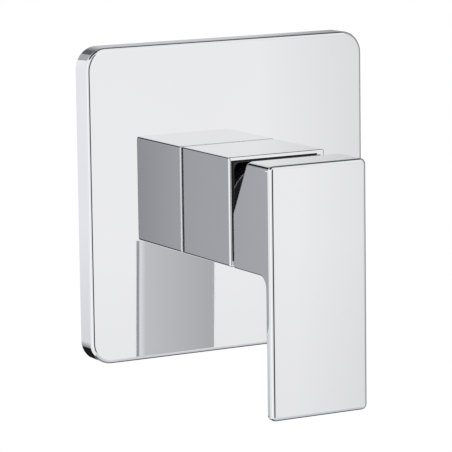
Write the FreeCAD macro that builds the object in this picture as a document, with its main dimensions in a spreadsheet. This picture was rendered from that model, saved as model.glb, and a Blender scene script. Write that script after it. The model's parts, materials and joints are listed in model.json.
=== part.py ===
import FreeCAD, Part
import Sketcher
import os

# Concealed single-lever shower mixer, in millimetres.
# The origin is the centre of the valve body's back face, which is screwed down inside the wall.
# +Z is up and the front faces -Y. "out" is the distance in front of that back face: out = -Y.
# Sizes called reach are measured from the finished wall, and depth goes from there into the wall.

DRIVING_SIZES = [
    # wall plate and the seals behind and in front of it
    ("plate_side", 140.0),
    ("plate_depth", 11.0),
    ("plate_corner", 10.0),
    ("plate_edge", 1.9),
    ("plate_front_wall", 3.0),
    ("plate_rim", 4.0),
    ("plate_hole_play", 0.7),
    ("gasket_width", 5.0),
    ("seal_thickness", 0.8),
    ("seal_inset", 0.5),
    # square sleeve over the neck
    ("sleeve_side", 48.0),
    ("sleeve_reach", 42.2),
    ("sleeve_wall", 2.5),
    ("sleeve_grip", 16.0),
    ("sleeve_long_edge", 1.1),
    ("sleeve_front_edge", 1.0),
    ("sleeve_rear_edge", 0.9),
    ("sleeve_cavity_corner", 3.0),
    ("sleeve_play", 0.3),
    # valve body in the wall
    ("body_radius", 24.0),
    ("body_depth", 50.0),
    ("body_step", 2.0),
    ("flange_side", 68.0),
    ("flange_thickness", 5.0),
    ("lug_spacing", 54.0),
    ("lug_hole_radius", 2.75),
    ("boss_radius", 14.0),
    ("boss_reach", 44.0),
    ("pipe_thread_radius", 10.5),
    ("pipe_thread_length", 15.0),
    ("pipe_bore_radius", 7.0),
    ("inlet_depth", 18.0),
    ("outlet_depth", 35.0),
    ("inlet_wall_half", 3.5),
    ("neck_radius", 20.9),
    ("neck_thread_wall", 1.7),
    ("neck_rim_setback", 1.0),
    ("ring_section_radius", 1.1),
    ("ring_groove_play", 0.05),
    ("rear_ring_reach", 16.5),
    ("front_ring_reach", 23.5),
    # cartridge and its nut
    ("seat_reach", 9.0),
    ("cartridge_radius", 17.4),
    ("static_gap", 0.1),
    ("running_gap", 0.3),
    ("base_flange", 3.0),
    ("base_plug", 3.0),
    ("base_seal_depth", 1.5),
    ("disc_seal_depth", 1.2),
    ("seal_ring_width", 1.2),
    ("inlet_port_radius", 2.2),
    ("inlet_port_side", 5.0),
    ("inlet_port_drop", 4.0),
    ("outlet_port_radius", 2.6),
    ("outlet_port_rise", 4.2),
    ("housing_length", 29.0),
    ("housing_wall", 1.9),
    ("housing_top", 3.0),
    ("stop_rib_inner", 13.0),
    ("stop_rib_half", 8.2),
    ("nut_length", 13.0),
    ("nut_wall", 1.3),
    ("nut_flange", 3.0),
    ("nut_opening_radius", 14.0),
    ("nut_chamfer", 2.4),
    ("nut_slot_width", 5.0),
    ("nut_slot_depth", 1.5),
    # ceramic discs and the slider that drives the upper one
    ("fixed_disc_radius", 14.8),
    ("fixed_disc_thickness", 5.0),
    ("disc_film", 0.05),
    ("moving_disc_radius", 11.6),
    ("moving_disc_thickness", 4.5),
    ("disc_rest_rise", 3.45),
    ("chamber_radius", 5.0),
    ("chamber_drop", 1.5),
    ("chamber_rise", 3.0),
    ("chamber_depth", 2.2),
    ("slider_half_width", 7.0),
    ("slider_half_height", 9.0),
    ("slider_thickness", 6.0),
    ("slider_floor", 0.5),
    ("slider_mouth", 0.6),
    ("peg_radius", 1.1),
    ("peg_length", 1.5),
    ("peg_side", 4.5),
    # carrier, pin and stem
    ("carrier_neck_radius", 11.8),
    ("carrier_flange", 4.4),
    ("carrier_top", 4.5),
    ("carrier_slot_length", 16.4),
    ("carrier_lug_half", 3.0),
    ("carrier_lug_reach", 14.9),
    ("pivot_reach", 45.0),
    ("pin_radius", 1.5),
    ("pin_half_length", 11.2),
    ("pin_fit", 0.05),
    ("stem_side", 8.0),
    ("stem_shoulder", 3.5),
    ("stem_end_reach", 78.0),
    ("stem_rod_radius", 1.8),
    ("ball_radius", 2.6),
    ("ball_arm", 17.0),
    ("ball_fit", 0.2),
    # lever handle
    ("lever_gap", 2.6),
    ("lever_front_reach", 89.0),
    ("lever_width", 48.0),
    ("head_half_height", 24.0),
    ("head_wedge", 12.8),
    ("paddle_drop", 86.0),
    ("paddle_thickness", 4.8),
    ("lever_corner", 2.6),
    ("lever_front_edge", 2.1),
    ("lever_inner_fillet", 5.0),
    ("head_wall", 4.0),
    ("head_roof", 9.0),
    ("boss_half", 9.0),
    ("socket_fit", 0.05),
    ("grub_reach", 66.0),
    ("grub_radius", 2.5),
    ("grub_length", 10.0),
    ("grub_key_flat", 2.5),
    ("grub_key_depth", 3.0),
    ("plug_radius", 3.2),
    ("plug_depth", 3.0),
    ("plug_thickness", 2.6),
]

doc = FreeCAD.newDocument("ShowerMixer")
sheet = doc.addObject("Spreadsheet::Sheet", "Sizes")


class Length:
    """A named size, or a sum made of named sizes: its number and its sheet expression."""

    def __init__(self, number, text):
        self.number = float(number)
        self.text = text

    def __add__(self, other):
        other = as_length(other)
        return Length(self.number + other.number, "(%s + %s)" % (self.text, other.text))

    def __sub__(self, other):
        other = as_length(other)
        return Length(self.number - other.number, "(%s - %s)" % (self.text, other.text))

    def __neg__(self):
        return Length(-self.number, "(0 - %s)" % self.text)

    def __mul__(self, factor):
        return Length(self.number * factor, "(%s * %s)" % (self.text, factor))

    def __truediv__(self, factor):
        return Length(self.number / factor, "(%s / %s)" % (self.text, factor))


def as_length(value):
    return value if isinstance(value, Length) else Length(value, repr(float(value)))


class SizeBook:
    """Every driving size as a Length, by its alias."""


def fill_sheet():
    book = SizeBook()
    for row, (alias, number) in enumerate(DRIVING_SIZES, 1):
        sheet.set("A%d" % row, alias)
        sheet.set("B%d" % row, str(number))
        sheet.setAlias("B%d" % row, alias)
        setattr(book, alias, Length(number, "Sizes." + alias))
    doc.recompute()
    return book


d = fill_sheet()
ZERO = Length(0.0, "0")
sub_parts = []


def bind(item, prop, length):
    """Give a property its number and tie it to the sheet."""
    setattr(item, prop, length.number)
    item.setExpression(prop, length.text)


def new_body(name):
    body = doc.addObject("PartDesign::Body", name)
    body.Label = name
    sub_parts.append(body)
    return body


def new_sketch(body, name, role, level):
    """A sketch on one of the body's own planes, moved along the plane's normal by level.

    XZ_Plane looks outward (+level is out), YZ_Plane looks to +X, XY_Plane looks up.
    """
    plane = [item for item in body.Origin.OriginFeatures if item.Role == role][0]
    sketch = body.newObject("Sketcher::SketchObject", body.Label + "_" + name)
    sketch.AttachmentSupport = [(plane, "")]
    sketch.MapMode = "FlatFace"
    sketch.AttachmentOffset = FreeCAD.Placement(
        FreeCAD.Vector(0, 0, level.number), FreeCAD.Rotation()
    )
    sketch.setExpression("AttachmentOffset.Base.z", level.text)
    return sketch


def tie(sketch, constraint, text):
    index = sketch.addConstraint(constraint)
    sketch.setExpression("Constraints[%d]" % index, text)


def hold_point(sketch, shape, point, x, y):
    """Fix one point of a sketch shape at (x, y), measured from the sketch's origin."""
    for kind, axis, length in (("DistanceX", -2, x), ("DistanceY", -1, y)):
        if abs(length.number) < 1e-9:
            sketch.addConstraint(Sketcher.Constraint("PointOnObject", shape, point, axis))
        elif length.number > 0:
            rule = Sketcher.Constraint(kind, -1, 1, shape, point, length.number)
            tie(sketch, rule, length.text)
        else:
            rule = Sketcher.Constraint(kind, shape, point, -1, 1, -length.number)
            tie(sketch, rule, (-length).text)


def draw_polygon(sketch, corners):
    points = [FreeCAD.Vector(x.number, y.number, 0) for x, y in corners]
    count = len(points)
    first = sketch.GeometryCount
    for i in range(count):
        sketch.addGeometry(Part.LineSegment(points[i], points[(i + 1) % count]))
    for i in range(count):
        following = first + (i + 1) % count
        sketch.addConstraint(Sketcher.Constraint("Coincident", first + i, 2, following, 1))
    for i, (x, y) in enumerate(corners):
        hold_point(sketch, first + i, 1, x, y)


def draw_rectangle(sketch, left, right, bottom, top):
    draw_polygon(sketch, [(left, bottom), (right, bottom), (right, top), (left, top)])


def draw_square(sketch, side):
    half = side / 2
    draw_rectangle(sketch, -half, half, -half, half)


def draw_circle(sketch, x, y, radius):
    centre = FreeCAD.Vector(x.number, y.number, 0)
    shape = sketch.addGeometry(Part.Circle(centre, FreeCAD.Vector(0, 0, 1), radius.number))
    hold_point(sketch, shape, 3, x, y)
    tie(sketch, Sketcher.Constraint("Radius", shape, radius.number), radius.text)


def pad(body, sketch, length):
    """Add material along the sketch's normal."""
    feature = body.newObject("PartDesign::Pad", sketch.Name + "_pad")
    feature.Profile = sketch
    bind(feature, "Length", length)
    doc.recompute()
    return feature


def cut(body, sketch, length, forward=False):
    """Remove material against the sketch's normal, or along it when forward is set."""
    before = body.Shape.Volume
    feature = body.newObject("PartDesign::Pocket", sketch.Name + "_cut")
    feature.Profile = sketch
    feature.Reversed = forward
    bind(feature, "Length", length)
    doc.recompute()
    if not body.Shape.Volume < before - 1e-6:
        raise RuntimeError("nothing was cut by " + feature.Name)
    return feature


def pick_edges(feature, wanted):
    edges = enumerate(feature.Shape.Edges, 1)
    return ["Edge%d" % number for number, edge in edges if wanted(edge)]


def dress(body, kind, name, feature, wanted, prop, length):
    """A fillet or chamfer on the wanted edges of the body's newest feature."""
    edges = pick_edges(feature, wanted)
    if not edges:
        raise RuntimeError("no edge for " + name)
    dressed = body.newObject("PartDesign::" + kind, body.Label + "_" + name)
    dressed.Base = (feature, edges)
    bind(dressed, prop, length)
    doc.recompute()
    return dressed


def fillet(body, name, feature, wanted, radius):
    return dress(body, "Fillet", name, feature, wanted, "Radius", radius)


def chamfer(body, name, feature, wanted, size):
    return dress(body, "Chamfer", name, feature, wanted, "Size", size)


def near(a, b):
    return abs(a - b) < 1e-4


def ends(edge):
    return [vertex.Point for vertex in edge.Vertexes]


def runs_out(edge):
    """True for a straight edge square to the wall."""
    points = ends(edge)
    if len(points) != 2:
        return False
    return near(points[0].x, points[1].x) and near(points[0].z, points[1].z)


def runs_out_at(edge, half):
    """True for a straight edge square to the wall at the corner of a square of that half side."""
    return runs_out(edge) and near(abs(ends(edge)[0].x), half) and near(abs(ends(edge)[0].z), half)


def lies_at_out(edge, level):
    box = edge.BoundBox
    return near(box.YMin, -level) and near(box.YMax, -level)


def round_boss(body, name, radius, start, end, x=ZERO, z=ZERO):
    """A round boss from out = start to out = end."""
    sketch = new_sketch(body, name, "XZ_Plane", start)
    draw_circle(sketch, x, z, radius)
    return pad(body, sketch, end - start)


def round_bore(body, name, radius, start, end, x=ZERO, z=ZERO):
    """A round hole from out = end back to out = start."""
    sketch = new_sketch(body, name, "XZ_Plane", end)
    draw_circle(sketch, x, z, radius)
    return cut(body, sketch, end - start)


def ring_boss(body, name, outer, inner, start, end, x=ZERO, z=ZERO):
    sketch = new_sketch(body, name, "XZ_Plane", start)
    draw_circle(sketch, x, z, outer)
    draw_circle(sketch, x, z, inner)
    return pad(body, sketch, end - start)


# Levels along the out axis and radii that several pieces share.
wall_out = d.body_depth
plate_front = wall_out + d.plate_depth
plate_hollow = plate_front - d.plate_front_wall
inlet_out = wall_out - d.inlet_depth
outlet_out = wall_out - d.outlet_depth
seat_out = wall_out + d.seat_reach
pivot_out = wall_out + d.pivot_reach
stem_end = wall_out + d.stem_end_reach
lever_front = wall_out + d.lever_front_reach
grub_out = wall_out + d.grub_reach
rear_ring_out = wall_out + d.rear_ring_reach
front_ring_out = wall_out + d.front_ring_reach
sleeve_rear = plate_front + d.seal_thickness
sleeve_front = sleeve_rear + d.sleeve_reach
grip_end = sleeve_rear + d.sleeve_grip
sleeve_bore = d.neck_radius + d.sleeve_play
neck_hole = d.neck_radius + d.plate_hole_play
base_top = seat_out + d.base_flange + d.base_plug
housing_rear = seat_out + d.base_flange
housing_front = housing_rear + d.housing_length
housing_roof = housing_front - d.housing_top
housing_cavity = d.cartridge_radius - d.housing_wall
neck_bore = d.cartridge_radius + d.static_gap
neck_thread = neck_bore + d.neck_thread_wall
neck_rim = housing_front - d.neck_rim_setback
nut_bore = neck_thread + d.static_gap
nut_radius = nut_bore + d.nut_wall
nut_front = housing_front + d.nut_flange
nut_rear = nut_front - d.nut_length
fixed_disc_front = base_top + d.fixed_disc_thickness
moving_disc_rear = fixed_disc_front + d.disc_film
moving_disc_front = moving_disc_rear + d.moving_disc_thickness
slider_front = moving_disc_front + d.slider_thickness
carrier_flange_front = housing_roof - d.running_gap
carrier_flange_rear = carrier_flange_front - d.carrier_flange
carrier_leg_rear = moving_disc_front + d.running_gap
carrier_front = pivot_out + d.carrier_top
ball_out = pivot_out - d.ball_arm
stem_shoulder_out = pivot_out - d.stem_shoulder
head_back = sleeve_front + d.lever_gap
paddle_back = lever_front - d.paddle_thickness

# The three water ways through base, fixed disc and valve body: name, x, z and radius.
PORTS = [
    ("hot", -d.inlet_port_side, -d.inlet_port_drop, d.inlet_port_radius),
    ("cold", d.inlet_port_side, -d.inlet_port_drop, d.inlet_port_radius),
    ("outlet", ZERO, d.outlet_port_rise, d.outlet_port_radius),
]


def draw_ports(sketch, extra=ZERO):
    for _, x, z, radius in PORTS:
        draw_circle(sketch, x, z, radius + extra)


def make_wall_plate():
    body = new_body("wall_plate")
    outline = new_sketch(body, "outline", "XZ_Plane", wall_out)
    draw_square(outline, d.plate_side)
    block = pad(body, outline, d.plate_depth)
    half = (d.plate_side / 2).number
    rounded = fillet(body, "corners", block, lambda e: runs_out_at(e, half), d.plate_corner)
    front = plate_front.number
    fillet(body, "front_edge", rounded, lambda e: lies_at_out(e, front), d.plate_edge)
    hollow = new_sketch(body, "hollow", "XZ_Plane", plate_hollow)
    inner_side = d.plate_side - d.plate_rim * 2
    draw_square(hollow, inner_side)
    dished = cut(body, hollow, plate_hollow - wall_out)
    inner_half = (inner_side / 2).number
    inner_corner = d.plate_corner - d.plate_rim
    fillet(body, "hollow_corners", dished, lambda e: runs_out_at(e, inner_half), inner_corner)
    round_bore(body, "neck_hole", neck_hole, plate_hollow, plate_front)


def make_plate_gasket():
    body = new_body("plate_gasket")
    outer = d.plate_side - d.plate_rim * 2 - d.static_gap * 2
    inner = outer - d.gasket_width * 2
    height = plate_hollow - wall_out
    outline = new_sketch(body, "outline", "XZ_Plane", wall_out)
    draw_square(outline, outer)
    block = pad(body, outline, height)
    half = (outer / 2).number
    corner = d.plate_corner - d.plate_rim
    fillet(body, "corners", block, lambda e: runs_out_at(e, half), corner)
    opening = new_sketch(body, "opening", "XZ_Plane", plate_hollow)
    draw_square(opening, inner)
    cut(body, opening, height)


def make_sleeve_seal():
    body = new_body("sleeve_seal")
    outline = new_sketch(body, "outline", "XZ_Plane", plate_front)
    draw_square(outline, d.sleeve_side - d.seal_inset * 2)
    draw_circle(outline, ZERO, ZERO, neck_hole)
    pad(body, outline, d.seal_thickness)


def make_square_sleeve():
    body = new_body("square_sleeve")
    outline = new_sketch(body, "outline", "XZ_Plane", sleeve_rear)
    draw_square(outline, d.sleeve_side)
    block = pad(body, outline, d.sleeve_reach)
    half = (d.sleeve_side / 2).number
    rounded = fillet(body, "long_edges", block, lambda e: runs_out_at(e, half), d.sleeve_long_edge)
    front = sleeve_front.number
    fronted = fillet(body, "front_edge", rounded, lambda e: lies_at_out(e, front), d.sleeve_front_edge)
    rear = sleeve_rear.number
    fillet(body, "rear_edge", fronted, lambda e: lies_at_out(e, rear), d.sleeve_rear_edge)
    cavity_side = d.sleeve_side - d.sleeve_wall * 2
    cavity = new_sketch(body, "cavity", "XZ_Plane", sleeve_front)
    draw_square(cavity, cavity_side)
    hollowed = cut(body, cavity, sleeve_front - grip_end)
    cavity_half = (cavity_side / 2).number
    fillet(
        body,
        "cavity_corners",
        hollowed,
        lambda e: runs_out_at(e, cavity_half),
        d.sleeve_cavity_corner,
    )
    round_bore(body, "neck_bore", sleeve_bore, sleeve_rear, grip_end)


def ring_grooves(body):
    """Two grooves round the neck, each a little wider than the ring that sits in it."""
    floor = d.neck_radius - d.ring_section_radius * 2 + (d.sleeve_play - d.ring_groove_play * 2)
    half = d.ring_section_radius + d.ring_groove_play * 2
    for name, out in (("rear_groove", rear_ring_out), ("front_groove", front_ring_out)):
        sketch = new_sketch(body, name, "XZ_Plane", out + half)
        draw_circle(sketch, ZERO, ZERO, d.neck_radius + d.sleeve_play)
        draw_circle(sketch, ZERO, ZERO, floor)
        cut(body, sketch, half * 2)


def make_valve_body():
    body = new_body("valve_body")
    shoulder = wall_out - d.body_step
    round_boss(body, "barrel", d.body_radius, ZERO, shoulder)
    flange = new_sketch(body, "flange", "XZ_Plane", ZERO)
    draw_square(flange, d.flange_side)
    pad(body, flange, d.flange_thickness)

    inlets = new_sketch(body, "inlet_bosses", "YZ_Plane", -d.boss_reach)
    draw_circle(inlets, -inlet_out, -d.inlet_port_drop, d.boss_radius)
    pad(body, inlets, d.boss_reach * 2)
    outlet = new_sketch(body, "outlet_boss", "XY_Plane", ZERO)
    draw_circle(outlet, ZERO, -outlet_out, d.boss_radius)
    pad(body, outlet, d.boss_reach)

    round_boss(body, "neck", d.neck_radius, shoulder, grip_end)
    round_boss(body, "neck_thread", neck_thread, grip_end, neck_rim)
    ring_grooves(body)
    round_bore(body, "cartridge_bore", neck_bore, seat_out, neck_rim)

    inlet_ways = new_sketch(body, "inlet_ways", "XZ_Plane", seat_out)
    for _, x, z, radius in PORTS[:2]:
        draw_circle(inlet_ways, x, z, radius)
    cut(body, inlet_ways, seat_out - inlet_out)
    _, x, z, radius = PORTS[2]
    round_bore(body, "outlet_way", radius, outlet_out, seat_out, x, z)

    inlet_bore_length = d.boss_reach - d.inlet_wall_half
    for name, side, forward in (("hot", -d.boss_reach, True), ("cold", d.boss_reach, False)):
        bore = new_sketch(body, name + "_bore", "YZ_Plane", side)
        draw_circle(bore, -inlet_out, -d.inlet_port_drop, d.pipe_bore_radius)
        cut(body, bore, inlet_bore_length, forward)
        socket = new_sketch(body, name + "_socket", "YZ_Plane", side)
        draw_circle(socket, -inlet_out, -d.inlet_port_drop, d.pipe_thread_radius)
        cut(body, socket, d.pipe_thread_length, forward)

    bore = new_sketch(body, "outlet_bore", "XY_Plane", d.boss_reach)
    draw_circle(bore, ZERO, -outlet_out, d.pipe_bore_radius)
    cut(body, bore, d.boss_reach - d.outlet_port_rise)
    socket = new_sketch(body, "outlet_socket", "XY_Plane", d.boss_reach)
    draw_circle(socket, ZERO, -outlet_out, d.pipe_thread_radius)
    cut(body, socket, d.pipe_thread_length)

    lugs = new_sketch(body, "lug_holes", "XZ_Plane", d.flange_thickness)
    half = d.lug_spacing / 2
    for x in (-half, half):
        for z in (-half, half):
            draw_circle(lugs, x, z, d.lug_hole_radius)
    cut(body, lugs, d.flange_thickness)


def make_neck_rings():
    for name, out in (("neck_oring_rear", rear_ring_out), ("neck_oring_front", front_ring_out)):
        ring = doc.addObject("Part::Torus", name)
        ring.Label = name
        centre = d.neck_radius + d.sleeve_play - d.ring_section_radius - d.ring_groove_play
        bind(ring, "Radius1", centre)
        bind(ring, "Radius2", d.ring_section_radius)
        upright = FreeCAD.Rotation(FreeCAD.Vector(1, 0, 0), 90)
        ring.Placement = FreeCAD.Placement(FreeCAD.Vector(0, -out.number, 0), upright)
        ring.setExpression("Placement.Base.y", (-out).text)
        sub_parts.append(ring)


def make_cartridge_nut():
    body = new_body("cartridge_nut")
    block = round_boss(body, "outside", nut_radius, nut_rear, nut_front)
    front = nut_front.number
    chamfer(body, "rim", block, lambda e: lies_at_out(e, front), d.nut_chamfer)
    round_bore(body, "opening", d.nut_opening_radius, nut_rear, nut_front)
    round_bore(body, "thread", nut_bore, nut_rear, housing_front)
    half = d.nut_slot_width / 2
    across = new_sketch(body, "level_slots", "XZ_Plane", nut_front)
    draw_rectangle(across, -nut_radius, nut_radius, -half, half)
    cut(body, across, d.nut_slot_depth)
    upright = new_sketch(body, "upright_slots", "XZ_Plane", nut_front)
    draw_rectangle(upright, -half, half, -nut_radius, nut_radius)
    cut(body, upright, d.nut_slot_depth)


def make_cartridge_base():
    body = new_body("cartridge_base")
    round_boss(body, "flange", d.cartridge_radius, seat_out, housing_rear)
    round_boss(body, "plug", housing_cavity - d.static_gap, housing_rear, base_top)
    ways = new_sketch(body, "ways", "XZ_Plane", base_top)
    draw_ports(ways)
    cut(body, ways, d.base_flange + d.base_plug)
    upper_seats = new_sketch(body, "disc_seal_seats", "XZ_Plane", base_top)
    draw_ports(upper_seats, d.seal_ring_width)
    cut(body, upper_seats, d.disc_seal_depth)
    lower_seats = new_sketch(body, "body_seal_seats", "XZ_Plane", seat_out)
    draw_ports(lower_seats, d.seal_ring_width)
    cut(body, lower_seats, d.base_seal_depth, forward=True)


def make_port_seals():
    rows = [
        ("base_seal", seat_out, seat_out + d.base_seal_depth),
        ("disc_seal", base_top - d.disc_seal_depth, base_top),
    ]
    for row, start, end in rows:
        for way, x, z, radius in PORTS:
            body = new_body(way + "_" + row)
            outer = radius + d.seal_ring_width - d.ring_groove_play
            ring_boss(body, "ring", outer, radius, start, end, x, z)


def make_cartridge_housing():
    body = new_body("cartridge_housing")
    round_boss(body, "outside", d.cartridge_radius, housing_rear, housing_front)
    round_bore(body, "cavity", housing_cavity, housing_rear, housing_roof)
    opening = d.carrier_neck_radius + d.running_gap
    round_bore(body, "opening", opening, housing_roof, housing_front)
    # Two ribs stop the carrier's lug at the ends of its turn; the outside is trimmed round again.
    rib_rear = carrier_flange_rear + d.running_gap
    for name, left, right in (
        ("left_stop", -d.cartridge_radius, -d.stop_rib_inner),
        ("right_stop", d.stop_rib_inner, d.cartridge_radius),
    ):
        rib = new_sketch(body, name, "XZ_Plane", rib_rear)
        draw_rectangle(rib, left, right, -d.stop_rib_half, d.stop_rib_half)
        pad(body, rib, housing_roof - rib_rear)
    trim = new_sketch(body, "trim", "XZ_Plane", housing_front)
    draw_circle(trim, ZERO, ZERO, d.cartridge_radius * 2)
    draw_circle(trim, ZERO, ZERO, d.cartridge_radius)
    cut(body, trim, housing_front - rib_rear)


def make_discs():
    fixed = new_body("fixed_disc")
    round_boss(fixed, "outside", d.fixed_disc_radius, base_top, fixed_disc_front)
    ways = new_sketch(fixed, "ways", "XZ_Plane", fixed_disc_front)
    draw_ports(ways)
    cut(fixed, ways, d.fixed_disc_thickness)

    moving = new_body("moving_disc")
    centre = d.disc_rest_rise
    round_boss(
        moving, "outside", d.moving_disc_radius, moving_disc_rear, moving_disc_front, ZERO, centre
    )
    low = centre - d.chamber_drop
    high = centre + d.chamber_rise
    middle = new_sketch(moving, "chamber", "XZ_Plane", moving_disc_rear)
    draw_rectangle(middle, -d.chamber_radius, d.chamber_radius, low, high)
    cut(moving, middle, d.chamber_depth, forward=True)
    for name, z in (("chamber_low", low), ("chamber_high", high)):
        end = new_sketch(moving, name, "XZ_Plane", moving_disc_rear)
        draw_circle(end, ZERO, z, d.chamber_radius)
        cut(moving, end, d.chamber_depth, forward=True)
    holes = new_sketch(moving, "peg_holes", "XZ_Plane", moving_disc_front)
    for x in (-d.peg_side, d.peg_side):
        draw_circle(holes, x, centre, d.peg_radius + d.static_gap)
    cut(moving, holes, d.peg_length + d.static_gap)


def make_disc_slider():
    body = new_body("disc_slider")
    centre = d.disc_rest_rise
    outline = new_sketch(body, "outline", "XZ_Plane", moving_disc_front)
    draw_rectangle(
        outline,
        -d.slider_half_width,
        d.slider_half_width,
        centre - d.slider_half_height,
        centre + d.slider_half_height,
    )
    pad(body, outline, d.slider_thickness)
    socket = d.ball_radius + d.ball_fit
    floor = moving_disc_front + d.slider_floor
    bored = round_bore(body, "ball_socket", socket, floor, slider_front)
    front = slider_front.number

    def socket_mouth(edge):
        return lies_at_out(edge, front) and len(edge.Vertexes) == 1

    chamfer(body, "socket_mouth", bored, socket_mouth, d.slider_mouth)
    pegs_rear = moving_disc_front - d.peg_length
    for name, x in (("left_peg", -d.peg_side), ("right_peg", d.peg_side)):
        round_boss(body, name, d.peg_radius, pegs_rear, floor, x, centre)


def make_stem_carrier():
    body = new_body("stem_carrier")
    flange = d.stop_rib_inner - d.running_gap
    round_boss(body, "flange", flange, carrier_flange_rear, carrier_flange_front)
    legs = housing_cavity - d.running_gap
    round_boss(body, "legs", legs, carrier_leg_rear, carrier_flange_rear)
    channel = new_sketch(body, "slider_channel", "XZ_Plane", carrier_flange_rear)
    half = d.slider_half_width + d.running_gap
    draw_rectangle(channel, -half, half, -d.cartridge_radius, d.cartridge_radius)
    cut(body, channel, carrier_flange_rear - carrier_leg_rear)
    round_boss(body, "neck", d.carrier_neck_radius, carrier_flange_front, carrier_front)
    lug = new_sketch(body, "stop_lug", "XZ_Plane", carrier_flange_rear)
    draw_rectangle(
        lug, -d.carrier_lug_half, d.carrier_lug_half, -d.carrier_lug_reach, -d.carrier_neck_radius
    )
    pad(body, lug, d.carrier_flange)
    slot = new_sketch(body, "stem_slot", "XZ_Plane", carrier_front)
    slot_half = d.stem_side / 2 + d.running_gap
    slot_reach = d.carrier_slot_length / 2
    draw_rectangle(slot, -slot_half, slot_half, -slot_reach, slot_reach)
    cut(body, slot, carrier_front - carrier_flange_rear)
    pin_hole = new_sketch(body, "pin_hole", "YZ_Plane", d.carrier_neck_radius)
    draw_circle(pin_hole, -pivot_out, ZERO, d.pin_radius + d.pin_fit)
    cut(body, pin_hole, d.carrier_neck_radius * 2)


def place_along(item, axis, angle, **place):
    """Turn an item and put its base at the given x, y and z lengths."""
    base = FreeCAD.Vector(*[place.get(name, ZERO).number for name in "xyz"])
    item.Placement = FreeCAD.Placement(base, FreeCAD.Rotation(axis, angle))
    for name, length in place.items():
        item.setExpression("Placement.Base." + name, length.text)


LEVEL_AXIS = FreeCAD.Vector(1, 0, 0)
UPRIGHT_TURN = FreeCAD.Vector(0, 1, 0)


def cylinder_across(name, radius, half_length):
    """A cylinder along X at the pivot."""
    item = doc.addObject("Part::Cylinder", name)
    item.Label = name
    bind(item, "Radius", radius)
    bind(item, "Height", half_length * 2)
    place_along(item, UPRIGHT_TURN, 90, x=-half_length, y=-pivot_out)
    return item


def make_stem_pivot_pin():
    sub_parts.append(cylinder_across("stem_pivot_pin", d.pin_radius, d.pin_half_length))


def make_lever_stem():
    ball = doc.addObject("Part::Sphere", "stem_ball")
    bind(ball, "Radius", d.ball_radius)
    place_along(ball, LEVEL_AXIS, 0, y=-ball_out)
    rod = doc.addObject("Part::Cylinder", "stem_rod")
    bind(rod, "Radius", d.stem_rod_radius)
    bind(rod, "Height", stem_shoulder_out - ball_out)
    place_along(rod, LEVEL_AXIS, 90, y=-ball_out)
    bar = doc.addObject("Part::Box", "stem_bar")
    half = d.stem_side / 2
    bind(bar, "Length", d.stem_side)
    bind(bar, "Width", stem_end - stem_shoulder_out)
    bind(bar, "Height", d.stem_side)
    place_along(bar, LEVEL_AXIS, 0, x=-half, y=-stem_end, z=-half)
    solid = doc.addObject("Part::MultiFuse", "stem_solid")
    solid.Shapes = [ball, rod, bar]
    hole = cylinder_across("stem_pin_hole", d.pin_radius + d.pin_fit, d.stem_side)
    stem = doc.addObject("Part::Cut", "lever_stem")
    stem.Label = "lever_stem"
    stem.Base = solid
    stem.Tool = hole
    sub_parts.append(stem)


def make_lever_handle():
    body = new_body("lever_handle")
    half_width = d.lever_width / 2
    top = d.head_half_height
    bottom = -d.paddle_drop
    wedge_top = head_back + d.head_wedge
    profile = new_sketch(body, "side_view", "YZ_Plane", -half_width)
    draw_polygon(
        profile,
        [
            (-head_back, ZERO),
            (-head_back, -top),
            (-paddle_back, -top),
            (-paddle_back, bottom),
            (-lever_front, bottom),
            (-lever_front, top),
            (-wedge_top, top),
        ],
    )
    block = pad(body, profile, d.lever_width)

    def inner_corner(edge):
        box = edge.BoundBox
        level = near(box.ZMin, -top.number) and near(box.ZMax, -top.number)
        return level and lies_at_out(edge, paddle_back.number)

    blended = fillet(body, "finger_fillet", block, inner_corner, d.lever_inner_fillet)

    def outer_corner(edge):
        if not runs_out(edge) or not near(abs(ends(edge)[0].x), half_width.number):
            return False
        return near(ends(edge)[0].z, top.number) or near(ends(edge)[0].z, bottom.number)

    rounded = fillet(body, "corners", blended, outer_corner, d.lever_corner)
    front = lever_front.number
    fillet(body, "front_edge", rounded, lambda e: lies_at_out(e, front), d.lever_front_edge)

    # The head is hollow round a boss that holds the stem.
    roof = lever_front - d.head_roof
    depth = roof - sleeve_front
    side = half_width - d.head_wall
    ceiling = top - d.head_wall
    hollow = new_sketch(body, "hollow", "XZ_Plane", roof)
    draw_polygon(
        hollow,
        [
            (-side, -ceiling),
            (-d.boss_half, -ceiling),
            (-d.boss_half, d.boss_half),
            (d.boss_half, d.boss_half),
            (d.boss_half, -ceiling),
            (side, -ceiling),
            (side, ceiling),
            (-side, ceiling),
        ],
    )
    cut(body, hollow, depth)
    socket = new_sketch(body, "stem_socket", "XZ_Plane", stem_end + d.socket_fit)
    draw_square(socket, d.stem_side + d.socket_fit * 2)
    cut(body, socket, stem_end + d.socket_fit - sleeve_front)
    hole = new_sketch(body, "grub_hole", "XY_Plane", -top)
    draw_circle(hole, ZERO, -grub_out, d.grub_radius)
    cut(body, hole, top - d.stem_side / 2, forward=True)
    seat = new_sketch(body, "plug_seat", "XY_Plane", -top)
    draw_circle(seat, ZERO, -grub_out, d.plug_radius)
    cut(body, seat, d.plug_depth, forward=True)


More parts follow.
